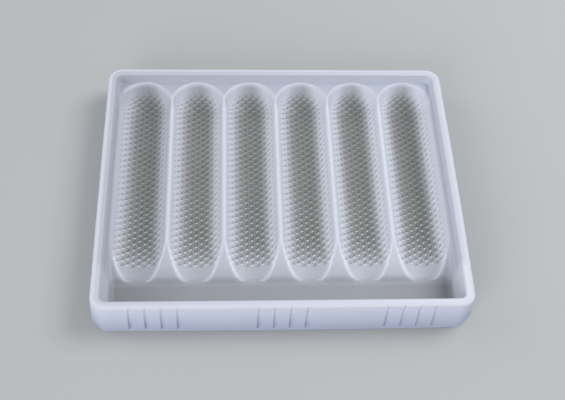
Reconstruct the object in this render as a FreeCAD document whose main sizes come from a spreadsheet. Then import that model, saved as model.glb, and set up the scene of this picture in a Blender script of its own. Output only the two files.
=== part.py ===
import FreeCAD, Part
import os
import Sketcher
from FreeCAD import Vector

# A thermoformed plastic tray, formed from one sheet.
# The sheet is built as a forming toolmaker would draw it: the face that the goods touch
# is one solid form, the underside is the same form set in by the sheet's thickness, and
# the tray is the first less the second.
#
# Frame: origin on the table under the middle of the tray, +X along the row of troughs,
# +Y from the gutter to the back, +Z up. Millimetres and degrees.

SIZES = [
    ("rim_length", 200.0, "outside of the rim along X, at its top"),
    ("rim_width", 164.0, "outside of the rim along Y, at its top"),
    ("tray_height", 21.0, "foot of the skirt to the top of the rim"),
    ("sheet", 0.6, "thickness of the formed sheet"),
    ("rim_corner", 8.0, "corner radius of the rim, in plan"),
    ("skirt_flare", 2.0, "how far the skirt's foot stands out past the rim"),
    ("lip_width", 0.5, "trim lip turned out at the foot of the skirt"),
    ("rim_land", 4.6, "width of the rim between skirt and well"),
    ("rim_outer_round", 1.5, "rounding of the rim into the skirt"),
    ("rim_inner_round", 1.1, "rounding of the rim into the well"),
    ("well_draft", 10.0, "lean of the well's walls"),
    ("well_corner", 3.5, "corner radius of the well, in plan"),
    ("floor_height", 0.9, "top of the gutter floor above the table"),
    ("floor_round", 2.6, "rounding between the well's walls and its floor"),
    ("shelf_height", 15.0, "top of the shelf behind the troughs"),
    ("shelf_front", 65.0, "front edge of the shelf, from the tray's middle"),
    ("shelf_slope", 35.0, "slope from the shelf down to the ridges"),
    ("ridge_height", 11.2, "top of the ridges between the troughs"),
    ("ridge_skin", 1.5, "depth of plastic in the crest of a ridge"),
    ("ramp_slope", 23.0, "slope of the ridges' ends down to the gutter"),
    ("toe_height", 2.8, "height at which the ramp drops to the gutter"),
    ("toe_setback", 28.0, "ramp's toe from the front of the rim"),
    ("toe_slope", 50.0, "slope of the last drop to the gutter"),
    ("trough_pitch", 31.2, "spacing of the troughs"),
    ("trough_count", 6, "number of troughs"),
    ("trough_radius", 16.1, "radius of a trough's round section"),
    ("trough_floor", 1.0, "lowest line of a trough above the table"),
    ("trough_setback", 22.2, "centre of a trough's round end from the back of the rim"),
    ("trough_overrun", 3.0, "how far a trough runs out past the ramp's toe"),
    ("flute_radius", 1.3, "half width of a flute in the skirt"),
    ("flute_bite", 0.45, "depth of a flute where it starts under the rim"),
    ("flute_foot", 1.6, "height at which a flute ends above the table"),
    ("flute_pitch", 8.4, "spacing of the flutes in a group"),
    ("long_group_step", 67.0, "spacing of the groups on the front and back"),
    ("short_group_step", 51.6, "spacing of the groups on the two sides"),
]
LONG_FLUTES = (-1.5, -0.5, 0.5, 1.5)
SHORT_FLUTES = (-1, 0, 1)
END_FLATS = 4

doc = FreeCAD.newDocument("formed_tray")


def size_sheet():
    """The driving dimensions, one named row each."""
    sheet = doc.addObject("Spreadsheet::Sheet", "sizes")
    for row, (name, number, note) in enumerate(SIZES, start=1):
        sheet.set("A%d" % row, name)
        sheet.set("B%d" % row, str(number))
        sheet.set("C%d" % row, note)
        sheet.setAlias("B%d" % row, name)
    doc.recompute()
    return sheet


sizes = size_sheet()


def value(expression):
    """The number that an expression over the sheet gives now."""
    return float(sizes.evalExpression("(%s) * 1" % expression))


def plane(body, role):
    return next(item for item in body.Origin.OriginFeatures if item.Role == role)


def new_sketch(body, name, role, offset="0"):
    """A sketch on one of the body's own planes, set off along the plane's normal."""
    sketch = body.newObject("Sketcher::SketchObject", name)
    sketch.AttachmentSupport = [(plane(body, role), "")]
    sketch.MapMode = "FlatFace"
    sketch.setExpression("AttachmentOffset.Base.z", offset)
    return sketch


def bind(sketch, kind, places, expression):
    """One driving constraint, bound to the sheet."""
    index = sketch.addConstraint(Sketcher.Constraint(kind, *places, value(expression)))
    sketch.setExpression("Constraints[%d]" % index, expression)


def pin(sketch, geometry, point, x, y):
    """Holds a point of the sketch at x, y from its origin."""
    bind(sketch, "DistanceX", (-1, 1, geometry, point), x)
    bind(sketch, "DistanceY", (-1, 1, geometry, point), y)


def rounded_rectangle(sketch, half_x, half_y, radius):
    """A rectangle about the sketch's origin: four corner arcs joined by tangent lines."""
    hx, hy, r = value(half_x), value(half_y), value(radius)
    corners = ((1, 1), (-1, 1), (-1, -1), (1, -1))
    for turn, (sx, sy) in enumerate(corners):
        centre = Vector(sx * (hx - r), sy * (hy - r), 0)
        start = FreeCAD.Units.Quantity("%d deg" % (90 * turn)).getValueAs("rad").Value
        circle = Part.Circle(centre, Vector(0, 0, 1), r)
        sketch.addGeometry(Part.ArcOfCircle(circle, start, start + value("pi / 2")))
    for arc in range(4):
        first = sketch.getPoint(arc, 2)
        last = sketch.getPoint((arc + 1) % 4, 1)
        sketch.addGeometry(Part.LineSegment(first, last))
    for arc in range(4):
        line = 4 + arc
        sketch.addConstraint(Sketcher.Constraint("Tangent", arc, 2, line, 1))
        sketch.addConstraint(Sketcher.Constraint("Tangent", line, 2, (arc + 1) % 4, 1))
    for arc, (sx, sy) in enumerate(corners):
        x = "%d * (%s - (%s))" % (sx, half_x, radius)
        y = "%d * (%s - (%s))" % (sy, half_y, radius)
        pin(sketch, arc, 3, x, y)
    bind(sketch, "Radius", (0,), radius)
    for arc in (1, 2, 3):
        sketch.addConstraint(Sketcher.Constraint("Equal", 0, arc))


def polygon(sketch, corners, first=0):
    """A closed outline of straight lines through corners given as expressions."""
    points = [Vector(value(x), value(y), 0) for x, y in corners]
    count = len(points)
    for i in range(count):
        sketch.addGeometry(Part.LineSegment(points[i], points[(i + 1) % count]))
    for i in range(count):
        after = first + (i + 1) % count
        sketch.addConstraint(Sketcher.Constraint("Coincident", first + i, 2, after, 1))
    for i, (x, y) in enumerate(corners):
        pin(sketch, first + i, 1, x, y)


def picked(feature, chosen):
    """The feature and the names of its edges that the test picks."""
    edges = feature.Shape.Edges
    return (feature, ["Edge%d" % n for n, edge in enumerate(edges, start=1) if chosen(edge)])


def round_edges(body, name, feature, chosen, radius):
    """Fillets the feature's edges that the test picks."""
    fillet = body.newObject("PartDesign::Fillet", name)
    fillet.Base = picked(feature, chosen)
    fillet.setExpression("Radius", radius)
    doc.recompute()
    return fillet


def break_edges(body, name, feature, chosen, radius):
    """A flat across the edges, standing for a rounding on the hidden side of the sheet."""
    chamfer = body.newObject("PartDesign::Chamfer", name)
    chamfer.Base = picked(feature, chosen)
    chamfer.setExpression("Size", "(%s) * (2 - sqrt(2))" % radius)
    doc.recompute()
    return chamfer


def at_height(expression):
    """A test for edges that lie level at one height."""
    height = value(expression)

    def chosen(edge):
        box = edge.BoundBox
        return abs(box.ZMin - height) < 0.01 and abs(box.ZMax - height) < 0.01
    return chosen


def skirt_block(body, skin, soften):
    """The outside of the tray: a drafted block, wider at its foot than at its rim."""
    reach = " / 2 + sizes.skirt_flare - " + skin
    foot = new_sketch(body, "skirt_foot", "XY_Plane")
    rounded_rectangle(foot, "(sizes.rim_length%s)" % reach, "(sizes.rim_width%s)" % reach,
                      "(sizes.rim_corner + sizes.skirt_flare - %s)" % skin)
    block = body.newObject("PartDesign::Pad", "skirt")
    block.Profile = foot
    block.setExpression("Length", "sizes.tray_height - " + skin)
    block.setExpression("TaperAngle", "-atan(sizes.skirt_flare / sizes.tray_height)")
    doc.recompute()
    return soften(body, "rim_outer_edge", block, at_height("sizes.tray_height - " + skin),
                  "sizes.rim_outer_round - " + skin)


def well(body, skin, soften):
    """The well inside the rim, its walls drawn in towards the floor."""
    half_x = "(sizes.rim_length / 2 - sizes.rim_land + %s)" % skin
    half_y = "(sizes.rim_width / 2 - sizes.rim_land + %s)" % skin
    mouth = new_sketch(body, "well_mouth", "XY_Plane", "sizes.tray_height")
    polygon(mouth, [("-" + half_x, "-" + half_y), (half_x, "-" + half_y),
                    (half_x, half_y), ("-" + half_x, half_y)])
    hollow = body.newObject("PartDesign::Pocket", "well")
    hollow.Profile = mouth
    hollow.setExpression("Length", "sizes.tray_height - sizes.floor_height + " + skin)
    doc.recompute()
    reach = value(half_x) + 0.01
    floor = value("sizes.floor_height - " + skin)
    rim = at_height("sizes.tray_height - " + skin)

    def wall(face):
        box = face.BoundBox
        return abs(box.ZMin - floor) < 0.01 and box.ZLength > 1

    def corner(edge):
        box = edge.BoundBox
        return box.ZMin < floor + 0.01 and box.ZLength > 1 and abs(box.Center.x) < reach

    def inner_rim(edge):
        return rim(edge) and edge.BoundBox.XMax < reach and edge.BoundBox.XMin > -reach
    mouth_plane = body.newObject("PartDesign::Plane", "mouth_plane")
    mouth_plane.AttachmentSupport = [(plane(body, "XY_Plane"), "")]
    mouth_plane.MapMode = "FlatFace"
    mouth_plane.setExpression("AttachmentOffset.Base.z", "sizes.tray_height")
    draft = body.newObject("PartDesign::Draft", "well_draft")
    walls = [n for n, face in enumerate(hollow.Shape.Faces, start=1) if wall(face)]
    draft.Base = (hollow, ["Face%d" % n for n in walls])
    draft.NeutralPlane = (mouth_plane, [""])
    draft.setExpression("Angle", "sizes.well_draft")
    doc.recompute()
    upright = round_edges(body, "well_corners", draft, corner, "sizes.well_corner + " + skin)
    rounded = soften(body, "floor_edge", upright, at_height("sizes.floor_height - " + skin),
                     "sizes.floor_round + " + skin)
    return soften(body, "rim_inner_edge", rounded, inner_rim, "sizes.rim_inner_round - " + skin)


def bed(body, skin, ridge_top):
    """The bed that holds the troughs: a shelf at the back, the level of the ridges, and a
    ramp down to the gutter. Its ends run on into the skirt's block."""
    floor = "(sizes.floor_height - %s)" % skin
    back = "(sizes.rim_width / 2 - sizes.rim_land / 2)"
    shelf = "(sizes.shelf_height - %s)" % skin
    lean = "((sizes.ramp_slope + sizes.toe_slope) / 2)"
    toe_y = "(sizes.toe_setback - sizes.rim_width / 2 + %s * sin%s)" % (skin, lean)
    toe_z = "(sizes.toe_height - %s * cos%s)" % (skin, lean)
    ramp_top = "%s + (%s - %s) / tan(sizes.ramp_slope)" % (toe_y, ridge_top, toe_z)
    foot = "%s - (%s - %s) / tan(sizes.toe_slope)" % (toe_y, toe_z, floor)
    shelf_foot = "sizes.shelf_front - (%s - %s) / tan(sizes.shelf_slope)" % (shelf, ridge_top)
    outline = new_sketch(body, "bed_outline", "YZ_Plane")
    polygon(outline, [(back, floor + " / 2"), (back, shelf), ("sizes.shelf_front", shelf),
                      (shelf_foot, ridge_top), (ramp_top, ridge_top), (toe_y, toe_z),
                      (foot, floor), (foot, floor + " / 2")])
    pad = body.newObject("PartDesign::Pad", "bed")
    pad.Profile = outline
    pad.Midplane = True
    pad.setExpression("Length", "sizes.rim_length - sizes.rim_land")
    doc.recompute()
    return pad


def round_bar(sketch, front_end, back_end, axis_z, radius):
    """Half the outline of a level bar with a round back end. Its first line is the axis."""
    y0, y1 = value(front_end), value(back_end)
    z, r = value(axis_z), value(radius)
    axis, mouth, crown, end = range(4)
    sketch.addGeometry(Part.LineSegment(Vector(y0, z, 0), Vector(y1 + r, z, 0)))
    sketch.addGeometry(Part.LineSegment(Vector(y0, z, 0), Vector(y0, z + r, 0)))
    sketch.addGeometry(Part.LineSegment(Vector(y0, z + r, 0), Vector(y1, z + r, 0)))
    circle = Part.Circle(Vector(y1, z, 0), Vector(0, 0, 1), r)
    sketch.addGeometry(Part.ArcOfCircle(circle, 0, value("pi / 2")))
    sketch.addConstraint(Sketcher.Constraint("Coincident", mouth, 1, axis, 1))
    sketch.addConstraint(Sketcher.Constraint("Coincident", crown, 1, mouth, 2))
    sketch.addConstraint(Sketcher.Constraint("Coincident", end, 1, axis, 2))
    sketch.addConstraint(Sketcher.Constraint("Tangent", crown, 2, end, 2))
    sketch.addConstraint(Sketcher.Constraint("Horizontal", axis))
    sketch.addConstraint(Sketcher.Constraint("Vertical", mouth))
    pin(sketch, end, 3, back_end, axis_z)
    pin(sketch, axis, 1, front_end, axis_z)
    bind(sketch, "Radius", (end,), radius)


def flat_bar(sketch, front_end, back_end, axis_z, radius):
    """The same outline for the hidden side of the sheet, its round end stepped in flats."""
    corners = [(front_end, axis_z), ("%s + %s" % (back_end, radius), axis_z)]
    step = 90 / END_FLATS
    for flat in range(END_FLATS, 0, -1):
        turn = (flat - 0.5) * step
        reach = "%s / cos(%s deg)" % (radius, step / 2)
        corners.append(("%s + %s * sin(%s deg)" % (back_end, reach, turn),
                        "%s + %s * cos(%s deg)" % (axis_z, reach, turn)))
    corners.append((front_end, "%s + %s" % (axis_z, radius)))
    polygon(sketch, corners)


def trough(body, skin, bar):
    """The row of troughs, each turned about its own level axis."""
    first_x = "-(sizes.trough_count - 1) / 2 * sizes.trough_pitch"
    outline = new_sketch(body, "trough_outline", "YZ_Plane", first_x)
    bar(outline, "(sizes.toe_setback - sizes.rim_width / 2 - sizes.trough_overrun)",
        "(sizes.rim_width / 2 - sizes.trough_setback)",
        "(sizes.trough_floor + sizes.trough_radius)", "(sizes.trough_radius + %s)" % skin)
    groove = body.newObject("PartDesign::Groove", "trough")
    groove.Profile = outline
    groove.ReferenceAxis = (outline, ["Edge1"])
    groove.Angle = 360
    doc.recompute()
    return repeat(body, "trough_row", groove, "X_Axis",
                  "(sizes.trough_count - 1) * sizes.trough_pitch", "sizes.trough_count")


def flute_plan(sketch, first, x, y, facing, half_width):
    """One flute in plan, drawn from the given geometry index on: parallel sides, and a bottom
    rounded in three flats. It opens towards facing, in degrees."""
    flat = "%s * tan(22.5 deg)" % half_width
    plan = [("-" + half_width, "sizes.skirt_flare"), ("-" + half_width, "-" + flat),
            ("-" + flat, "-" + half_width), (flat, "-" + half_width),
            (half_width, "-" + flat), (half_width, "sizes.skirt_flare")]
    ahead = "(%s) * cos(%d deg) - (%s) * sin(%d deg)"
    aside = "(%s) * sin(%d deg) + (%s) * cos(%d deg)"
    corners = [("%s + %s" % (x, ahead % (out, facing, along, facing)),
                "%s + %s" % (y, aside % (out, facing, along, facing))) for along, out in plan]
    polygon(sketch, corners, first)


def flute_set(body, name, places, skin):
    """Upright flutes at these plan positions, closed by a small shelf above the lip. A flute
    stands upright in a flared skirt, so it runs deeper towards the foot."""
    outline = new_sketch(body, name + "_outline", "XY_Plane", "sizes.flute_foot - " + skin)
    for number, (x, y, facing) in enumerate(places):
        flute_plan(outline, 6 * number, x, y, facing, "(sizes.flute_radius + %s)" % skin)
    cut = body.newObject("PartDesign::Pocket", name)
    cut.Profile = outline
    cut.Reversed = True
    cut.setExpression("Length", "sizes.tray_height")
    doc.recompute()
    return cut


def repeat(body, name, feature, role, length, count):
    """The feature repeated along one of the body's axes."""
    row = body.newObject("PartDesign::LinearPattern", name)
    body.Tip = row
    row.Originals = [feature]
    row.Direction = (plane(body, role), [""])
    row.setExpression("Length", length)
    row.setExpression("Occurrences", count)
    doc.recompute()
    return row


def flutes(body, skin):
    """Groups of flutes along the four sides of the skirt and one on each back corner."""
    stand = "(sizes.flute_radius - sizes.flute_bite)"
    out_x = "(sizes.rim_length / 2 + %s)" % stand
    out_y = "(sizes.rim_width / 2 + %s)" % stand
    long_side = []
    short_side = []
    for side in (-1, 1):
        for step in LONG_FLUTES:
            x = "(%s * sizes.flute_pitch - sizes.long_group_step)" % step
            long_side.append((x, "%d * %s" % (side, out_y), 180 - 90 * side))
        for step in SHORT_FLUTES:
            y = "(%s * sizes.flute_pitch - sizes.short_group_step)" % step
            short_side.append(("%d * %s" % (side, out_x), y, 90 - 90 * side))
    inward = "(sizes.rim_corner * (1 - sqrt(0.5)) - %s * sqrt(0.5))" % stand
    corners = [("%d * (sizes.rim_length / 2 - %s)" % (side, inward),
                "(sizes.rim_width / 2 - %s)" % inward, 90 - 45 * side) for side in (-1, 1)]
    first = flute_set(body, "long_side_flutes", long_side, skin)
    repeat(body, "long_side_groups", first, "X_Axis", "2 * sizes.long_group_step", "3")
    second = flute_set(body, "short_side_flutes", short_side, skin)
    repeat(body, "short_side_groups", second, "Y_Axis", "2 * sizes.short_group_step", "3")
    return flute_set(body, "corner_flutes", corners, skin)


def lip(body):
    """The trim lip, as thick as the sheet, round the foot of the skirt."""
    reach = " + sizes.skirt_flare + sizes.lip_width"
    outline = new_sketch(body, "lip_outline", "XY_Plane")
    rounded_rectangle(outline, "sizes.rim_length / 2" + reach, "sizes.rim_width / 2" + reach,
                      "sizes.rim_corner" + reach)
    pad = body.newObject("PartDesign::Pad", "lip")
    pad.Profile = outline
    pad.setExpression("Length", "sizes.sheet")
    doc.recompute()
    return pad


def form(name, skin, ridge_top, soften, bar):
    """The tray's shape as one solid down to the table, set in by the given skin."""
    body = doc.addObject("PartDesign::Body", name)
    body.Label = name
    skirt_block(body, skin, soften)
    well(body, skin, soften)
    bed(body, skin, ridge_top)
    trough(body, skin, bar)
    flutes(body, skin)
    return body


def check(items):
    """Stops the build at the first object that did not compute."""
    for item in items:
        bad = [word for word in item.State if word in ("Invalid", "Error")]
        shape = getattr(item, "Shape", None)
        if bad or (shape is not None and (shape.isNull() or not shape.isValid())):
            raise RuntimeError("%s did not build: %s" % (item.Name, item.State))


top_form = form("top_form", "0", "sizes.ridge_height", round_edges, round_bar)
lip(top_form)
under_form = form("under_form", "sizes.sheet", "(sizes.ridge_height - sizes.ridge_skin)",
                  break_edges, flat_bar)

tray = doc.addObject("Part::Cut", "tray")
tray.Label = "tray"
tray.Base = top_form
tray.Tool = under_form
tray.Placement = FreeCAD.Placement()
doc.recompute()
check(doc.Objects)

os.makedirs("parts", exist_ok=True)
for part in (tray,):
    part.Shape.exportStep("parts/%s.step" % part.Label)
    print(part.Label, part.Shape.BoundBox, "solids", len(part.Shape.Solids),
          "volume", round(part.Shape.Volume))
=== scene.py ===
import math

import bpy
import numpy as np
from mathutils import Matrix, Vector


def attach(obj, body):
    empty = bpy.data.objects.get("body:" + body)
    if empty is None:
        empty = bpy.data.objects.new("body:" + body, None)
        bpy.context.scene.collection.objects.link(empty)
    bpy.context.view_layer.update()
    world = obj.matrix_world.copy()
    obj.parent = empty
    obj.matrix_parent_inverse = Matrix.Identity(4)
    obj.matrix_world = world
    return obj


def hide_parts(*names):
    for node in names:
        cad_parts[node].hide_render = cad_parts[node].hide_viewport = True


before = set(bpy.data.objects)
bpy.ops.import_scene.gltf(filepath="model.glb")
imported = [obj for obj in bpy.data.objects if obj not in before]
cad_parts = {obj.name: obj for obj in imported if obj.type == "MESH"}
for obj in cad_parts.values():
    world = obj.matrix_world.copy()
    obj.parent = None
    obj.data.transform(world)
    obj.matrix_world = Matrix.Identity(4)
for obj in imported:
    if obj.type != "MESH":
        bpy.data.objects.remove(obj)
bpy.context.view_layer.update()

MM = 0.001

# ---------------------------------------------------------------- the tray's named sizes (mm)
RIM_LENGTH, RIM_WIDTH, HEIGHT = 200.0, 164.0, 21.0
SHEET = 0.6
RIM_CORNER, RIM_LAND, OUTER_ROUND, INNER_ROUND = 8.0, 4.6, 1.5, 1.1
SKIRT_FLARE, LIP_WIDTH, CORNER_TUCK = 1.35, 0.2, 1.2
WELL_DRAFT, WELL_CORNER, WELL_FOOT_ROUND = math.radians(10.0), 3.5, 1.0
FLOOR_HEIGHT, FLOOR_ROUND = 0.9, 2.6
SHELF_HEIGHT, SHELF_FRONT, SHELF_SLOPE = 15.0, 65.0, math.radians(35.0)
RIDGE_HEIGHT, CREST_ROUND = 11.2, 2.2
RAMP_SLOPE, TOE_HEIGHT, TOE_SETBACK = math.radians(23.0), 2.8, 28.0
TOE_SLOPE = math.radians(50.0)
TROUGHS, PITCH, TROUGH_RADIUS, TROUGH_FLOOR = 6, 31.2, 16.1, 1.0
TROUGH_SETBACK = 22.2
FLUTE_RADIUS, FLUTE_BITE, FLUTE_FOOT, FLUTE_PITCH = 1.3, 0.45, 1.6, 8.4
LONG_STEP, SHORT_STEP = 67.0, 51.6
FLUTE_LEAN, FLUTE_ROUND = 0.3, 0.2

# the small upright crease in the back wall
CREASE_X, CREASE_DEPTH, CREASE_HALF = -12.5, 0.45, 0.9

# how far the sides stand out midway between the corners, and the front's foot beyond that
BOW_LEFT, BOW_RIGHT, BOW_BACK, BOW_FRONT, BOW_FOOT = 0.1, 0.55, 0.05, 0.15, 0.45

# dimples on the troughs: columns along each trough, every other one set off by half a pitch
COLUMN, DIMPLE_PITCH, DIMPLE_DEPTH = 3.0, 3.98, 0.34
DIMPLE_HALF_WIDTH, DIMPLE_HALF_LENGTH = 1.25, 1.6
TEXTURE_FRONT, TEXTURE_ARC, TEXTURE_FADE = -46.5, 17.2, 4.5

# the painted shade in the troughs: half widths of its dark band, on its right and left, and of the
# fade round it, then how the painted shade gives way to pale towards each trough's mouth
SHADE_BAND_RIGHT, SHADE_BAND_LEFT, PALE_HALF, END_STRETCH = 2.9, 1.3, 13.0, 0.54
PALE_MOUTH, MOUTH_FADE, MOUTH_PALE, BED_PALE = -26.0, 20.0, 0.86, 0.86
# half width of the painted highlight along each trough's rim
RIM_HIGHLIGHT_HALF = 0.62

# the mesh: how far inside the well's mouth each grid stops, at the sides and at the back,
# and the rings that carry on from it
GRID_SIDE, GRID_BACK, PAST_MOUTH = 4.2, 1.35, 3.78
WALL_RINGS = (0.12, 0.24, 0.36, 0.46, 0.55, 0.64, 0.74, 0.84, 0.93, 1.0, 1.07, 1.15, 1.24, 1.5)
UNDER_SIDE, UNDER_BACK = 4.4, 1.1
UNDER_RINGS = (-1.6, -1.0, -0.6, 0.0, 0.8, 1.8, 2.8, 3.6)
CREST_START, END_ANGLE = 14.9, math.radians(74)
# heights of the skirt's rings: fluted, below the flutes, and inside
FLUTED_LEVELS = (17.5, 15.0, 12.0, 9.0, 6.0, 4.0, 2.4, FLUTE_FOOT + 0.15)
FOOT_LEVELS = (FLUTE_FOOT - 0.05, 1.1, 0.85)
INNER_LEVELS = (0.0, 1.0, FLUTE_FOOT - SHEET, FLUTE_FOOT - SHEET + 0.1, 5.0, 9.0, 13.0, 17.0,
                19.6)
FLUTE_STOPS = (0.0, 0.45, 0.85, 1.15, 1.3, 1.7)
CORNER_MIDDLE = 0.7854

HALF_X, HALF_Y = RIM_LENGTH / 2, RIM_WIDTH / 2
MOUTH_X, MOUTH_Y = HALF_X - RIM_LAND, HALF_Y - RIM_LAND
BACK_CENTRE = HALF_Y - TROUGH_SETBACK
AXIS_Z = TROUGH_FLOOR + TROUGH_RADIUS
TOE_Y = TOE_SETBACK - HALF_Y
SHELF_FOOT = SHELF_FRONT - (SHELF_HEIGHT - RIDGE_HEIGHT) / math.tan(SHELF_SLOPE)
RAMP_TOP = TOE_Y + (RIDGE_HEIGHT - TOE_HEIGHT) / math.tan(RAMP_SLOPE)
FLOOR_Y = TOE_Y - (TOE_HEIGHT - FLOOR_HEIGHT) / math.tan(TOE_SLOPE)
CENTRES = [(i - (TROUGHS - 1) / 2) * PITCH for i in range(TROUGHS)]
LONG_FLUTES = [g * LONG_STEP + k * FLUTE_PITCH for g in (-1, 0, 1) for k in (-1.5, -0.5, 0.5, 1.5)]
SHORT_FLUTES = [g * SHORT_STEP + k * FLUTE_PITCH for g in (-1, 0, 1) for k in (-1, 0, 1)]


# ---------------------------------------------------------------- the formed surface
def soft_min(a, b, k):
    """The lower of two surfaces, with the bend between them rounded over about k."""
    h = np.clip(0.5 + 0.5 * (b - a) / k, 0.0, 1.0)
    return b * (1 - h) + a * h - k * h * (1 - h)


def bed_profile():
    """The bed's height along Y, its bends rounded."""
    step, reach, spread = 0.1, 40, 0.75
    y = np.arange(-110.0, 110.0, step)
    bends_y = [-110, FLOOR_Y, TOE_Y, RAMP_TOP, SHELF_FOOT, SHELF_FRONT, 110]
    bends_z = [FLOOR_HEIGHT, FLOOR_HEIGHT, TOE_HEIGHT, RIDGE_HEIGHT, RIDGE_HEIGHT,
               SHELF_HEIGHT, SHELF_HEIGHT]
    z = np.interp(y, bends_y, bends_z)
    kernel = np.exp(-0.5 * (np.arange(-reach, reach + 1) * step / spread) ** 2)
    kernel /= kernel.sum()
    return y, np.convolve(np.pad(z, reach, mode="edge"), kernel, mode="valid")


BED_Y, BED_Z = bed_profile()
BED_SLOPE = np.gradient(BED_Z, BED_Y)


def nearest_axis(x):
    """Signed distance in X to the nearest trough's axis."""
    i = np.clip(np.round(x / PITCH + (TROUGHS - 1) / 2), 0, TROUGHS - 1)
    return x - (i - (TROUGHS - 1) / 2) * PITCH


def inset(x, y, half_x, half_y, corner):
    """How far inside the well's wall line a point is; contours keep one corner radius."""
    ax, ay = half_x - np.abs(x), half_y - np.abs(y)
    gap = np.abs(ax - ay)
    inner = np.sqrt(np.maximum(2 * corner ** 2 - np.minimum(gap, corner) ** 2, 0))
    return np.where(gap < corner, (ax + ay - 2 * corner + inner) / 2, np.minimum(ax, ay))


def dimple_coords(x, y):
    """Lattice coordinates round and along the nearest trough, and how far the pattern
    holds there (0 to 1)."""
    dx = nearest_axis(x)
    past = np.maximum(y - BACK_CENTRE, 0)
    rho = np.minimum(np.hypot(dx, past), TROUGH_RADIUS * 0.999)
    down = np.sqrt(TROUGH_RADIUS ** 2 - rho ** 2)
    across = TROUGH_RADIUS * np.arctan2(dx, down)
    along = np.where(y < BACK_CENTRE, y - BACK_CENTRE,
                     TROUGH_RADIUS * np.arctan2(past, down))
    arc = TROUGH_RADIUS * np.arcsin(rho / TROUGH_RADIUS)
    fade = np.clip((TEXTURE_ARC - arc) / TEXTURE_FADE, 0, 1) * np.clip(y - TEXTURE_FRONT, 0, 1)
    return across / COLUMN, along / DIMPLE_PITCH, fade


def dimples(x, y):
    """Depth of the dimples pressed into the troughs."""
    u, v, fade = dimple_coords(x, y)
    col = np.round(u)
    du = (u - col) * COLUMN
    shift = 0.5 * np.mod(col, 2)
    dv = (v - shift - np.round(v - shift)) * DIMPLE_PITCH
    reach = (du / DIMPLE_HALF_WIDTH) ** 2 + (dv / DIMPLE_HALF_LENGTH) ** 2
    return DIMPLE_DEPTH * fade * np.clip(1 - reach, 0, 1) ** 0.8


def bed_and_trough(x, y, skin):
    """Heights of the bed and of the nearest trough, and how far out across the trough the
    point is, 1 being its full radius."""
    slope = np.interp(y, BED_Y, BED_SLOPE)
    bed = np.interp(y, BED_Y, BED_Z) - skin * np.sqrt(1 + slope ** 2)
    rho = np.hypot(nearest_axis(x), np.maximum(y - BACK_CENTRE, 0))
    radius = TROUGH_RADIUS + skin
    inside = np.sqrt(np.maximum(radius ** 2 - rho ** 2, 0))
    trough = np.where(rho < radius, AXIS_Z - inside, AXIS_Z + 8 * (rho - radius))
    return bed, trough + np.maximum(FLOOR_Y - y, 0) * 1.5, rho / radius


def painted_shading(x, y):
    """How pale the painted shade leaves the milky sheet at a point of the bed, 0 at the bottom of a
    trough and 1 away from it, and how near the point is to a trough's rim (0 to 1), for a painted
    highlight along the rim."""
    dx = nearest_axis(x)
    past = np.maximum(y - BACK_CENTRE, 0)
    rho = np.minimum(np.hypot(dx, END_STRETCH * past) / TROUGH_RADIUS, 0.999)
    shade_half = np.where(dx > 0, SHADE_BAND_RIGHT, SHADE_BAND_LEFT)
    t = np.clip((TROUGH_RADIUS * np.arcsin(rho) - shade_half) / (PALE_HALF - shade_half), 0, 1)
    mouth = np.clip((PALE_MOUTH - y) / MOUTH_FADE, 0, 1)
    pale = np.maximum(t * t * (3 - 2 * t), MOUTH_PALE * mouth)
    bed, trough, rho = bed_and_trough(x, y, 0.0)
    steep = np.minimum(rho / np.sqrt(np.maximum(1 - rho ** 2, 0.0154)), 8)
    apart = (bed - trough) / np.sqrt(1 + steep ** 2)
    # a painted highlight along the trough's rim
    rim = np.exp(-(apart / RIM_HIGHLIGHT_HALF) ** 2) * (y > FLOOR_Y + 1)
    return np.where(trough > bed + 0.6, BED_PALE, pale), rim


def height(x, y, skin=0.0, textured=True):
    """Height of the formed sheet's upper face inside the rim, or of its under face."""
    bed, trough, rho = bed_and_trough(x, y, skin)
    ground = np.where(y < FLOOR_Y - 3, bed, soft_min(bed, trough, CREST_ROUND))
    if textured:
        ground = ground - dimples(x, y) * np.sqrt(np.maximum(1 - rho ** 2, 0.12))
    # the wall: straight and leaning, rounded into the bed below and into the rim above
    top = HEIGHT - skin
    s = inset(x, y, MOUTH_X + skin / math.cos(WELL_DRAFT), MOUTH_Y + skin / math.cos(WELL_DRAFT),
              WELL_CORNER + skin)
    s = s - CREASE_DEPTH * np.exp(-((x - CREASE_X) / CREASE_HALF) ** 2) * (y > BACK_CENTRE)
    lean = 1 / math.tan(WELL_DRAFT)
    turn = math.tan((math.pi / 2 - WELL_DRAFT) / 2)
    foot_round = np.where(y < FLOOR_Y + 2, FLOOR_ROUND, WELL_FOOT_ROUND) + skin
    q = s - (HEIGHT - ground) / lean
    reach = foot_round * turn
    arc = foot_round - np.sqrt(np.maximum(foot_round ** 2 - np.maximum(reach - q, 0) ** 2, 0))
    wall = np.where(q < -reach * math.sin(WELL_DRAFT), -lean * q, np.where(q < reach, arc, 0))
    z = ground + wall
    rim_round = max(INNER_ROUND - skin, 0.3)
    over = rim_round * turn
    crest = top - rim_round + np.sqrt(np.maximum(rim_round ** 2 - np.maximum(s + over, 0) ** 2, 0))
    rim = np.where(s < -over, top, crest)
    return np.where(s < over * math.sin(WELL_DRAFT), np.minimum(rim, z), np.minimum(z, top))


def under_height(x, y):
    return height(x, y, SHEET, False)


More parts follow.
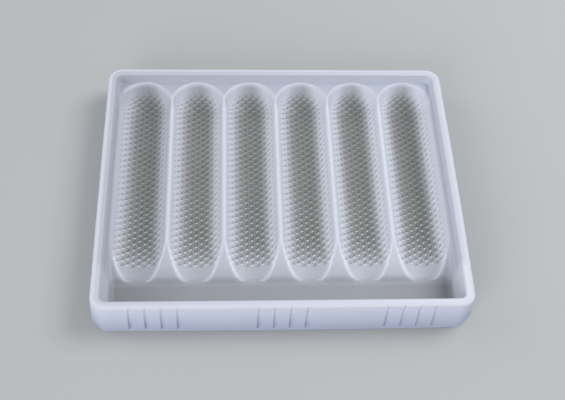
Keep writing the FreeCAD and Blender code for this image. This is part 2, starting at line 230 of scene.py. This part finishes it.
# ---------------------------------------------------------------- building the mesh
class Shell:
    """Vertices and faces gathered from grids, rings and strips."""

    def __init__(self):
        self.points, self.faces, self.count, self.well_end = [], [], 0, 0

    def add(self, pts):
        first = self.count
        self.points.append(np.asarray(pts, float).reshape(-1, 3))
        self.count += len(self.points[-1])
        return np.arange(first, self.count)

    def ring(self, plan, z):
        """A closed loop of points over a plan outline, at one height or at one each."""
        return self.add(np.column_stack([plan, np.broadcast_to(z, len(plan))]))

    def quads(self, a, b):
        """Joins two closed loops of the same length."""
        a2, b2 = np.roll(a, -1), np.roll(b, -1)
        self.faces += [tuple(f) for f in np.stack([a, b, b2, a2], 1).tolist()]

    def strip(self, inner, outer, flip=False):
        """Joins two closed loops of different length by triangles, in step round the middle."""
        pts = np.concatenate(self.points)

        def turned(loop):
            angle = np.arctan2(pts[loop, 1], pts[loop, 0])
            start = int(np.argmin(angle))
            angle = np.roll(angle, -start)
            return np.roll(loop, -start), np.append(angle, angle[0] + 2 * math.pi)
        a, ta = turned(inner)
        b, tb = turned(outer)
        i = j = 0
        na, nb = len(a), len(b)
        while i < na or j < nb:
            if j == nb or (i < na and ta[i + 1] <= tb[j + 1]):
                face = (a[i], b[j % nb], a[(i + 1) % na])
                i += 1
            else:
                face = (a[i % na], b[j], b[(j + 1) % nb])
                j += 1
            self.faces.append(tuple(int(k) for k in (face[::-1] if flip else face)))


def corner_warp(x, y, half_x, low_y, high_y, corner):
    """Pulls a grid's sharp corners in on to a rounded outline."""
    mid_y, half_y = (low_y + high_y) / 2, (high_y - low_y) / 2
    cx, cy = half_x - corner, half_y - corner
    a = np.clip((np.abs(x) - cx) / corner, 0, 1)
    b = np.clip((np.abs(y - mid_y) - cy) / corner, 0, 1)
    wx = cx + corner * a * np.sqrt(1 - b * b / 2)
    wy = cy + corner * b * np.sqrt(1 - a * a / 2)
    both = (a > 0) & (b > 0)
    return (np.where(both, np.sign(x) * wx, x), np.where(both, mid_y + np.sign(y - mid_y) * wy, y))


def trough_lines(step_arc, crest_steps):
    """X positions of the grid lines across the row of troughs, even along each arc."""
    edge = math.asin(CREST_START / TROUGH_RADIUS)
    count = int(round(edge * TROUGH_RADIUS / step_arc))
    arcs = np.arange(-count, count + 1) * step_arc / TROUGH_RADIUS
    across = TROUGH_RADIUS * np.sin(arcs)
    lines = []
    for i, c in enumerate(CENTRES):
        lines += list(c + across)
        if i < TROUGHS - 1:
            lines += list(np.linspace(c + across[-1], c + PITCH + across[0],
                                      crest_steps + 2)[1:-1])
    return np.array(lines)


def rows_fine(step):
    """Y positions of the grid lines: close where the bed bends, in step with the dimples."""
    first = BACK_CENTRE - math.floor((BACK_CENTRE - TEXTURE_FRONT + 1.0) / step) * step
    troughs = np.arange(first, BACK_CENTRE + 1e-6, step)
    angle = np.arange(step, TROUGH_RADIUS * END_ANGLE, step) / TROUGH_RADIUS
    end = BACK_CENTRE + TROUGH_RADIUS * np.sin(angle)
    top = np.linspace(end[-1], MOUTH_Y - GRID_BACK, 7)[1:]
    ramp = np.linspace(FLOOR_Y - 1.5, first, 13)[:-1]
    gutter = np.linspace(-MOUTH_Y + GRID_SIDE, FLOOR_Y - 1.5, 8)[:-1]
    return np.concatenate([gutter, ramp, troughs, end, top])


def outline(half_x, low_y, high_y, corner, stops):
    """Points of a rounded rectangle: stops are fractions along the four sides, and the
    corners' own angles."""
    fx, fy, arc = stops
    x0, x1 = -half_x + corner, half_x - corner
    y0, y1 = low_y + corner, high_y - corner
    pts = [(x0 + (x1 - x0) * t, low_y) for t in fx]
    pts += [(x1 + corner * math.sin(a), y0 - corner * math.cos(a)) for a in arc]
    pts += [(half_x, y0 + (y1 - y0) * t) for t in fy]
    pts += [(x1 + corner * math.cos(a), y1 + corner * math.sin(a)) for a in arc]
    pts += [(x1 + (x0 - x1) * t, high_y) for t in fx]
    pts += [(x0 - corner * math.sin(a), y1 + corner * math.cos(a)) for a in arc]
    pts += [(-half_x, y1 + (y0 - y1) * t) for t in fy]
    pts += [(x0 - corner * math.cos(a), y0 - corner * math.sin(a)) for a in arc]
    return np.array(pts)


def even_stops(step, arc_steps):
    nx, ny = round(RIM_LENGTH / step), round(RIM_WIDTH / step)
    return (np.linspace(0, 1, nx + 1), np.linspace(0, 1, ny + 1),
            np.linspace(0, math.pi / 2, arc_steps + 2)[1:-1])


def skirt_stops():
    """Stops along the skirt: close together at the flutes, wide between them."""
    def side(half, centres):
        span = 2 * (half - RIM_CORNER)
        marks = {0.0, 1.0}
        for c in centres:
            for stop in FLUTE_STOPS:
                marks |= {round((c + s + half - RIM_CORNER) / span, 6) for s in (-stop, stop)}
        marks = sorted(m for m in marks if 0 <= m <= 1)
        out = []
        for a, b in zip(marks, marks[1:]):
            n = max(1, int((b - a) * span / 6.0))
            out += [a + (b - a) * k / n for k in range(n)]
        return np.array(out + [1.0])
    arc = np.concatenate([np.linspace(0.12, 0.55, 4), CORNER_MIDDLE + np.linspace(-0.17, 0.17, 7),
                          np.linspace(1.02, 1.45, 4)])
    return side(HALF_X, LONG_FLUTES), side(HALF_Y, SHORT_FLUTES), arc


def grid(shell, xs, ys, corner, zfun):
    """A grid with rounded corners: its quads, and its boundary as a loop, counter-clockwise."""
    gx, gy = np.meshgrid(xs, ys, indexing="ij")
    wx, wy = corner_warp(gx, gy, xs[-1], ys[0], ys[-1], corner)
    ids = shell.add(np.stack([wx, wy, zfun(wx, wy)], -1)).reshape(gx.shape)
    q = np.stack([ids[:-1, :-1], ids[1:, :-1], ids[1:, 1:], ids[:-1, 1:]], -1).reshape(-1, 4)
    return q, np.concatenate([ids[:, 0], ids[-1, 1:], ids[-2::-1, -1], ids[0, -2:0:-1]])


def flute_cut(px, py, nx, ny):
    """How deep the nearest flute reaches in from the rim's outer line at each outline point.
    Away from the flutes it is far outside, so that it cuts nothing."""
    bite = np.full(len(px), -9.0)
    stand = FLUTE_RADIUS - FLUTE_BITE
    centres = []
    for side in (-1, 1):
        centres += [(along, side * (HALF_Y + stand)) for along in LONG_FLUTES]
        centres += [(side * (HALF_X + stand), along) for along in SHORT_FLUTES]
    inward = RIM_CORNER * (1 - math.sqrt(0.5)) - stand * math.sqrt(0.5)
    centres += [(side * (HALF_X - inward), HALF_Y - inward) for side in (-1, 1)]
    for cx, cy in centres:
        tx, ty = cx - px, cy - py
        along = tx * nx + ty * ny
        across = np.abs(tx * ny - ty * nx)
        hit = (across < FLUTE_RADIUS) & (np.abs(along) < 4)
        depth = np.sqrt(np.maximum(FLUTE_RADIUS ** 2 - across ** 2, 0)) - along
        bite = np.where(hit, np.maximum(bite, depth), bite)
    return bite


def flare(z):
    """How far the skirt stands out past the rim at this height."""
    return SKIRT_FLARE * (HEIGHT - z) / HEIGHT


class Skirt:
    """The rim's outer line, with its outward normals, the flutes' bite at each point, and how
    far the foot of each corner is tucked in."""

    def __init__(self):
        self.base = outline(HALF_X, -HALF_Y, HALF_Y, RIM_CORNER, skirt_stops())
        way = np.roll(self.base, -1, 0) - np.roll(self.base, 1, 0)
        way /= np.linalg.norm(way, axis=1)[:, None]
        self.normal = np.column_stack([way[:, 1], -way[:, 0]])
        self.tuck = CORNER_TUCK * (2 * self.normal[:, 0] * self.normal[:, 1]) ** 2
        self.cut = flute_cut(*self.base.T, *self.normal.T)

    def offset(self, out, z, fluted, skin=0.0):
        """How far out each point goes at this height: a flute leans out less than the skirt,
        so that it deepens only part of the way."""
        plain = out - self.tuck * (HEIGHT - z) / HEIGHT
        if not fluted:
            return plain
        return soft_min(plain, FLUTE_LEAN * flare(z) - self.cut - skin, FLUTE_ROUND)

    def ring(self, shell, offset, z):
        return shell.ring(self.base + self.normal * offset[:, None], z)


def upper_face(shell):
    """The bed as a grid, then rings up the wall and over the rim."""
    edge = MOUTH_X - GRID_SIDE
    xs = trough_lines(COLUMN / 4, 3)
    xs = np.concatenate([[-edge], xs[np.abs(xs) <= edge], [edge]])
    ys = rows_fine(DIMPLE_PITCH / 4)
    quads, last = grid(shell, xs, ys, WELL_CORNER, height)
    x_stops, _, arcs = even_stops(1.6, 9)
    low, high = ys[0] + WELL_CORNER, ys[-1] - WELL_CORNER
    rows = ys[(ys > low) & (ys < high)]
    stops = (x_stops, np.concatenate([[0.0], (rows - low) / (high - low), [1.0]]), arcs)
    for n, t in enumerate(WALL_RINGS):
        side, back = GRID_SIDE * (1 - t), GRID_BACK * (1 - t)
        if t > 1:
            side = back = PAST_MOUTH * (1 - t)
        plan = outline(MOUTH_X - side, -MOUTH_Y + side, MOUTH_Y - back,
                       WELL_CORNER + max(-side, 0), stops)
        ring = shell.ring(plan, height(plan[:, 0], plan[:, 1]))
        (shell.quads if n else shell.strip)(last, ring)
        last = ring
    shell.well_end = shell.count
    return quads, last


def outer_skirt(shell, skirt, last):
    """The rim land, the outer rounding, the fluted skirt and the lip."""
    turn = math.radians(90) - math.atan(SKIRT_FLARE / HEIGHT)
    tangent = OUTER_ROUND * math.tan(turn / 2)
    sections = [(-2.0, HEIGHT)]
    sections += [(-tangent + OUTER_ROUND * math.sin(a), HEIGHT - OUTER_ROUND * (1 - math.cos(a)))
                 for a in np.linspace(0, turn, 6)]
    sections += [(flare(z), z) for z in FLUTED_LEVELS]
    fluted = len(sections)
    sections += [(flare(z), z) for z in FOOT_LEVELS]
    foot, lip = flare(SHEET), SKIRT_FLARE + LIP_WIDTH
    sections += [(foot + 0.04, SHEET + 0.1), (foot + 0.1, SHEET + 0.02), (lip - 0.06, SHEET),
                 (lip, SHEET - 0.1), (lip, 0.1), (lip - 0.1, 0.0)]
    for n, (out, z) in enumerate(sections):
        ring = skirt.ring(shell, skirt.offset(out, z, n < fluted), z)
        (shell.quads if n else shell.strip)(last, ring)
        last = ring
    return last


def under_face(shell, skirt, last):
    """Up inside the skirt and under the rim, then the under side of the bed as a grid."""
    for z in INNER_LEVELS:
        offset = skirt.offset(flare(z) - SHEET, z, z > FLUTE_FOOT - SHEET, SHEET)
        ring = skirt.ring(shell, offset, z)
        shell.quads(last, ring)
        last = ring
    for out in (-1.1, -2.6):
        ring = skirt.ring(shell, np.minimum(out, -skirt.cut - SHEET - 0.02), HEIGHT - SHEET)
        shell.quads(last, ring)
        last = ring
    stops = even_stops(4.0, 6)
    for n, side in enumerate(UNDER_RINGS):
        back = side if side < 0 else side * 0.2
        plan = outline(MOUTH_X - side, -MOUTH_Y + side, MOUTH_Y - back,
                       WELL_CORNER + max(-side, 0) + SHEET, stops)
        ring = shell.ring(plan, under_height(plan[:, 0], plan[:, 1]))
        if n == 0:
            shell.strip(ring, last, flip=True)
        else:
            shell.quads(last, ring)
        last = ring
    edge = MOUTH_X - UNDER_SIDE
    xs = trough_lines(2.3, 1)
    xs = np.concatenate([[-edge], xs[np.abs(xs) < edge], [edge]])
    ys = np.concatenate([[-MOUTH_Y + UNDER_SIDE], rows_fine(DIMPLE_PITCH)[2:-1],
                         [MOUTH_Y - UNDER_BACK]])
    quads, loop = grid(shell, xs, ys, WELL_CORNER, under_height)
    shell.strip(loop, last, flip=True)
    return quads[:, ::-1]


def bow(x, y, z):
    """The sides stand out a little midway, and the front's foot more, as a formed tray
    relaxes."""
    low = np.clip((HEIGHT - z) / HEIGHT, 0, 1)
    side = np.where(x > 0, BOW_RIGHT, BOW_LEFT)
    front = np.where(y < 0, BOW_FRONT + BOW_FOOT * low, BOW_BACK)
    out_x = side * (1 - (y / HALF_Y) ** 2) * np.clip(np.abs(x) / HALF_X, 0, 1.05) ** 6
    out_y = front * (1 - (x / HALF_X) ** 2) * np.clip(np.abs(y) / HALF_Y, 0, 1.05) ** 6
    return x + np.sign(x) * np.maximum(out_x, 0), y + np.sign(y) * np.maximum(out_y, 0), z


def build_tray(name):
    """The whole tray as one closed mesh, with what its material needs on every point."""
    shell, skirt = Shell(), Skirt()
    bed_quads, last = upper_face(shell)
    last = outer_skirt(shell, skirt, last)
    under_quads = under_face(shell, skirt, last)
    pts = np.concatenate(shell.points)
    faces = [tuple(f) for f in np.concatenate([bed_quads, under_quads]).tolist()] + shell.faces
    mesh = bpy.data.meshes.new(name)
    mesh.from_pydata((np.stack(bow(*pts.T), 1) * MM).tolist(), [], faces)
    across, along, texture = dimple_coords(pts[:, 0], pts[:, 1])
    pale, rim = painted_shading(pts[:, 0], pts[:, 1])
    index = np.arange(len(pts))
    on_bed = index < len(shell.points[0])
    for key, data in (("across", across), ("along", along), ("texture", texture * on_bed),
                      ("well", index < shell.well_end), ("pale", pale), ("rim", rim * on_bed)):
        layer = mesh.attributes.new(key, "FLOAT", "POINT")
        layer.data.foreach_set("value", data.astype(np.float32))
    mesh.validate()
    mesh.shade_smooth()
    obj = bpy.data.objects.new(name, mesh)
    bpy.context.scene.collection.objects.link(obj)
    return obj


# ---------------------------------------------------------------- material
# colours over height above the table (mm), holding painted shade that is mostly darker near the
# table: walls and bed, gutter, and outside
SHADED_WALL_STOPS = [(0.0, (0.52, 0.54, 0.59)), (6.0, (0.64, 0.66, 0.73)), (12.0, (0.62, 0.64, 0.72)),
              (15.0, (0.51, 0.54, 0.63)), (16.5, (0.64, 0.67, 0.78)), (21.0, (0.62, 0.64, 0.72))]
SHADED_GUTTER_STOPS = [(0.0, (0.31, 0.32, 0.34)), (1.5, (0.33, 0.34, 0.365)), (3.5, (0.46, 0.48, 0.54)),
                (8.0, (0.66, 0.68, 0.74)), (21.0, (0.62, 0.64, 0.71))]
SHADED_SKIRT_STOPS = [(0.0, (0.38, 0.41, 0.53)), (3.0, (0.42, 0.45, 0.58)), (12.0, (0.53, 0.56, 0.70)),
               (18.5, (0.61, 0.63, 0.75)), (21.0, (0.57, 0.59, 0.66))]
# the painted shade in the bottoms of the troughs, and the painted reddish and greenish light on
# either side of each
TROUGH_SHADE, SHADE_FALL = (0.10, 0.107, 0.10), 1.3
REDDISH_LIGHT, GREENISH_LIGHT, LIGHT_TINT_COLUMNS, LIGHT_TINT_SHARE = (0.24, 0.19, 0.19), (0.12, 0.17, 0.105), 8.0, 0.55
# shares of painted shade: at the gutter's ends, from END_START on (mm), and towards the left
GUTTER_END_SHADE, END_START, END_LENGTH, END_SHADE_SHARE = (0.17, 0.17, 0.175), 45.0, 50.0, 0.6
LEFT_SHADE, LEFT_SHARE = (0.26, 0.26, 0.28), 0.30
# marks of the lattice, a pit of painted shade and a painted highlight on its lip, as parts of a
# cell: centre along, half width and half length
PIT_SHADE, PIT_SHADE_SPOT, PIT_SHADE_SHARE, PIT_SHADE_SHARE_LOW = (0.09, 0.095, 0.10), (0.06, 0.52, 0.27), 0.44, 0.22
PAINTED_HIGHLIGHT, GLINT_SPOT, GLINT_SHARE, GLINT_SHARE_FRONT = (0.80, 0.82, 0.88), (-0.32, 0.34, 0.19), 0.32, 0.45
# the marks' slant, then painted light along the seams between the columns
MARK_SLANT, SEAM_START, SEAM_LIGHT_SHARE = 0.42, 0.30, 0.5
# the painted highlights on the lips grow stronger from FRONT_START over FRONT_LENGTH towards the
# front
FRONT_START, FRONT_LENGTH = 5.0, 45.0
# the painted highlight along the troughs' rims
RIM_HIGHLIGHT, RIM_HIGHLIGHT_SHARE = (0.84, 0.86, 0.95), 0.50
CLOUD, CLOUD_SCALE, CLOUD_SHARE = (0.44, 0.46, 0.48), 55.0, 0.10
ROUGHNESS, SPECULAR, INDEX = 0.48, 0.4, 1.45
GRAIN_SCALE, GRAIN_STRENGTH, GRAIN_HEIGHT = 900.0, 0.10, 0.0001
FLOOR_COLOUR, FLOOR_ROUGHNESS = (0.42, 0.43, 0.42), 0.9


class Graph:
    """A material's node tree, with short names for the nodes that it is made of."""

    def __init__(self, name):
        self.material = bpy.data.materials.new(name)
        self.material.use_nodes = True
        self.nodes, self.links = self.material.node_tree.nodes, self.material.node_tree.links
        self.nodes.clear()

    def feed(self, socket, item):
        """Sets a socket to a number or a colour, or links it to another node's output."""
        if isinstance(item, (int, float)):
            socket.default_value = item
        elif isinstance(item, tuple):
            socket.default_value = (*item, 1)
        else:
            self.links.new(item, socket)

    def calc(self, operation, *items, clamp=False):
        node = self.nodes.new("ShaderNodeMath")
        node.operation = operation
        node.use_clamp = clamp
        for socket, item in zip(node.inputs, items):
            self.feed(socket, item)
        return node.outputs[0]

    def mix(self, share, a, b):
        """Colour a, with this share of colour b in it."""
        node = self.nodes.new("ShaderNodeMix")
        node.data_type = "RGBA"
        for socket, item in zip((node.inputs[0], node.inputs[6], node.inputs[7]), (share, a, b)):
            self.feed(socket, item)
        return node.outputs[2]

    def blend(self, mask, share, a, b):
        return self.mix(self.calc("MULTIPLY", mask, share), a, b)

    def attribute(self, name):
        node = self.nodes.new("ShaderNodeAttribute")
        node.attribute_name = name
        return node.outputs["Fac"]

    def height_ramp(self, level, stops):
        """A colour ramp over heights in mm above the table."""
        ramp = self.nodes.new("ShaderNodeValToRGB")
        self.links.new(level, ramp.inputs[0])
        elements = ramp.color_ramp.elements
        for element, (z, colour) in zip(elements, (stops[0], stops[-1])):
            element.position, element.color = z / HEIGHT, (*colour, 1)
        for z, colour in stops[1:-1]:
            elements.new(z / HEIGHT).color = (*colour, 1)
        return ramp.outputs[0]

    def noise(self, place, scale):
        node = self.nodes.new("ShaderNodeTexNoise")
        node.inputs["Scale"].default_value = scale
        self.links.new(place, node.inputs["Vector"])
        return node.outputs["Fac"]

    def spot(self, across, along, centre, half_width, half_length):
        """A soft oval spot in one cell of the dimple lattice."""
        a = self.calc("DIVIDE", across, half_width)
        b = self.calc("DIVIDE", self.calc("SUBTRACT", along, centre), half_length)
        reach = self.calc("ADD", self.calc("MULTIPLY", a, a), self.calc("MULTIPLY", b, b))
        return self.calc("SUBTRACT", 1.0, reach, clamp=True)

    def surface(self, colour, roughness):
        """The material's surface: a Principled shader of this colour."""
        out = self.nodes.new("ShaderNodeOutputMaterial")
        shader = self.nodes.new("ShaderNodeBsdfPrincipled")
        self.feed(shader.inputs["Base Color"], colour)
        shader.inputs["Roughness"].default_value = roughness
        self.links.new(shader.outputs[0], out.inputs[0])
        return shader


def shaded_sheet_colour(graph, x, y, level, pale):
    """The colour inside the rim by height and place, with painted shade: troughs, walls and gutter.
    """
    calc = graph.calc
    walls = graph.height_ramp(level, SHADED_WALL_STOPS)
    # painted shade in the bottoms of the troughs
    trough = graph.mix(calc("POWER", pale, SHADE_FALL), TROUGH_SHADE, walls)
    # painted shade at the gutter's ends, close to the table
    near_floor = calc("SUBTRACT", 1.0, calc("MULTIPLY", level, 4.0), clamp=True)
    end_shade = calc("DIVIDE", calc("SUBTRACT", calc("ABSOLUTE", x), END_START * MM), END_LENGTH * MM,
                clamp=True)
    gutter = graph.blend(calc("MULTIPLY", end_shade, near_floor), END_SHADE_SHARE,
                         graph.height_ramp(level, SHADED_GUTTER_STOPS), GUTTER_END_SHADE)
    ahead = calc("DIVIDE", calc("SUBTRACT", (FLOOR_Y + 3.0) * MM, y), 6.0 * MM, clamp=True)
    left = calc("SUBTRACT", 0.5, calc("DIVIDE", x, RIM_LENGTH * MM), clamp=True)
    return graph.blend(left, LEFT_SHARE, graph.mix(ahead, trough, gutter), LEFT_SHADE)


def add_lattice_light_and_shade(graph, y, pale, colour):
    """Adds the troughs' painted reddish and greenish light and the dimples, each a pit of painted
    shade with a painted highlight on its lip, and painted light along the seams between the
    columns. Every other column of them is set off by half a pitch."""
    calc = graph.calc
    across, along = graph.attribute("across"), graph.attribute("along")
    texture = graph.attribute("texture")
    low = calc("SUBTRACT", 1.0, pale, clamp=True)
    # painted reddish light on the left of each trough's axis and greenish light on its right, in
    # the shaded part
    side = calc("ADD", calc("DIVIDE", across, LIGHT_TINT_COLUMNS), 0.5, clamp=True)
    colour = graph.blend(calc("MULTIPLY", texture, low), LIGHT_TINT_SHARE, colour,
                         graph.mix(side, REDDISH_LIGHT, GREENISH_LIGHT))
    column = calc("ROUND", across)
    du = calc("SUBTRACT", across, column)
    shift = calc("MULTIPLY", calc("ABSOLUTE", calc("MODULO", column, 2.0)), 0.5)
    row = calc("SUBTRACT", along, shift)
    dv = calc("SUBTRACT", row, calc("ROUND", row))
    dv = calc("SUBTRACT", dv, calc("MULTIPLY", du, MARK_SLANT))
    # painted light along the seams between the columns
    lit_seam = calc("SUBTRACT", calc("ABSOLUTE", du), SEAM_START, clamp=True)
    colour = graph.blend(calc("MULTIPLY", lit_seam, texture), SEAM_LIGHT_SHARE, colour, PAINTED_HIGHLIGHT)
    # painted shade in each dimple's pit, stronger where the trough is shaded
    pit_shade = calc("MULTIPLY", graph.spot(du, dv, *PIT_SHADE_SPOT), texture)
    depth = calc("ADD", calc("MULTIPLY", low, PIT_SHADE_SHARE_LOW), PIT_SHADE_SHARE)
    colour = graph.blend(pit_shade, depth, colour, PIT_SHADE)
    # a painted highlight on each pit's lip, stronger towards the front
    lip = calc("MULTIPLY", graph.spot(du, dv, *GLINT_SPOT), texture)
    front = calc("DIVIDE", calc("SUBTRACT", FRONT_START * MM, y), FRONT_LENGTH * MM, clamp=True)
    glint_share = calc("ADD", calc("MULTIPLY", front, GLINT_SHARE_FRONT), GLINT_SHARE)
    return graph.blend(lip, glint_share, colour, PAINTED_HIGHLIGHT)


def formed_plastic():
    """Milky, faintly blue formed sheet, with light and shade painted into its colour. It is paler
    where it stands off the table and grey where it lies close to it, painted shade that also
    stands for the grey table seen through the sheet."""
    graph = Graph("formed_sheet")
    place = graph.nodes.new("ShaderNodeTexCoord").outputs["Object"]
    split = graph.nodes.new("ShaderNodeSeparateXYZ")
    graph.links.new(place, split.inputs[0])
    x, y, z = split.outputs
    level = graph.calc("DIVIDE", z, HEIGHT * MM, clamp=True)
    pale = graph.attribute("pale")
    inside = add_lattice_light_and_shade(graph, y, pale, shaded_sheet_colour(graph, x, y, level, pale))
    # a painted highlight along the troughs' rims
    inside = graph.blend(graph.attribute("rim"), RIM_HIGHLIGHT_SHARE, inside, RIM_HIGHLIGHT)
    # the skirt's colour, with painted shade darker towards the table
    outside = graph.height_ramp(level, SHADED_SKIRT_STOPS)
    colour = graph.mix(graph.attribute("well"), outside, inside)
    colour = graph.blend(graph.noise(place, CLOUD_SCALE), CLOUD_SHARE, colour, CLOUD)
    shader = graph.surface(colour, ROUGHNESS)
    shader.inputs["Specular IOR Level"].default_value = SPECULAR
    shader.inputs["IOR"].default_value = INDEX
    bump = graph.nodes.new("ShaderNodeBump")
    bump.inputs["Strength"].default_value = GRAIN_STRENGTH
    bump.inputs["Distance"].default_value = GRAIN_HEIGHT
    graph.links.new(graph.noise(place, GRAIN_SCALE), bump.inputs["Height"])
    graph.links.new(bump.outputs[0], shader.inputs["Normal"])
    return graph.material


def floor_material():
    graph = Graph("floor")
    graph.surface(FLOOR_COLOUR, FLOOR_ROUGHNESS)
    return graph.material


# ---------------------------------------------------------------- stage
# lamps, all aimed at the tray's middle: place (m), size (m) and power (W)
LAMPS = {"key": ((0.70, 0.25, 0.90), 0.7, 7.5),
         "fill": ((-0.7, -1.2, 0.5), 1.0, 10.5),
         "side": ((-1.3, 0.5, 0.8), 1.0, 4.0)}
WORLD_COLOUR, WORLD_STRENGTH = (0.9, 0.93, 1.0), 0.62
FLOOR_HALF = 6.0
# the camera: place (mm), turn, downward pitch and roll (radians), and lens (mm)
CAMERA_PLACE = (-28.39, -317.69, 457.96)
YAW, DOWN, ROLL = 0.09703, 0.96285, 0.07581
SENSOR_WIDTH, LENS = 36.0, 61.48354


def add_lamp(name, place, size, power):
    data = bpy.data.lights.new(name, "AREA")
    data.shape = "DISK"
    data.size = size
    data.energy = power
    lamp = bpy.data.objects.new(name, data)
    lamp.location = place
    lamp.rotation_euler = (-Vector(place)).to_track_quat("-Z", "Y").to_euler()
    bpy.context.scene.collection.objects.link(lamp)


def make_floor():
    mesh = bpy.data.meshes.new("floor")
    corners = [(right * FLOOR_HALF, back * FLOOR_HALF, 0)
               for right, back in ((-1, -1), (1, -1), (1, 1), (-1, 1))]
    mesh.from_pydata(corners, [], [(0, 1, 2, 3)])
    mesh.materials.append(floor_material())
    floor = bpy.data.objects.new("floor", mesh)
    bpy.context.scene.collection.objects.link(floor)


def make_camera():
    ahead = Vector((math.sin(YAW) * math.cos(DOWN), math.cos(YAW) * math.cos(DOWN),
                    -math.sin(DOWN)))
    right = Vector((math.cos(YAW), -math.sin(YAW), 0))
    up = right.cross(ahead)
    rolled_right = math.cos(ROLL) * right + math.sin(ROLL) * up
    rolled_up = -math.sin(ROLL) * right + math.cos(ROLL) * up
    turn = Matrix((rolled_right, rolled_up, -ahead)).transposed().to_4x4()
    data = bpy.data.cameras.new("camera")
    data.sensor_width = SENSOR_WIDTH
    data.lens = LENS
    camera = bpy.data.objects.new("camera", data)
    camera.matrix_world = Matrix.Translation(Vector(CAMERA_PLACE) * MM) @ turn
    bpy.context.scene.collection.objects.link(camera)
    bpy.context.scene.camera = camera


def make_world():
    world = bpy.data.worlds.new("world")
    world.use_nodes = True
    background = world.node_tree.nodes["Background"]
    background.inputs[0].default_value = (*WORLD_COLOUR, 1)
    background.inputs[1].default_value = WORLD_STRENGTH
    bpy.context.scene.world = world


make_camera()
make_world()
make_floor()
for lamp_name, lamp_facts in LAMPS.items():
    add_lamp(lamp_name, *lamp_facts)

tray = build_tray("tray_formed")
tray.data.materials.append(formed_plastic())
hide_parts("tray")
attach(tray, "root")

bpy.context.scene.view_settings.view_transform = "Standard"
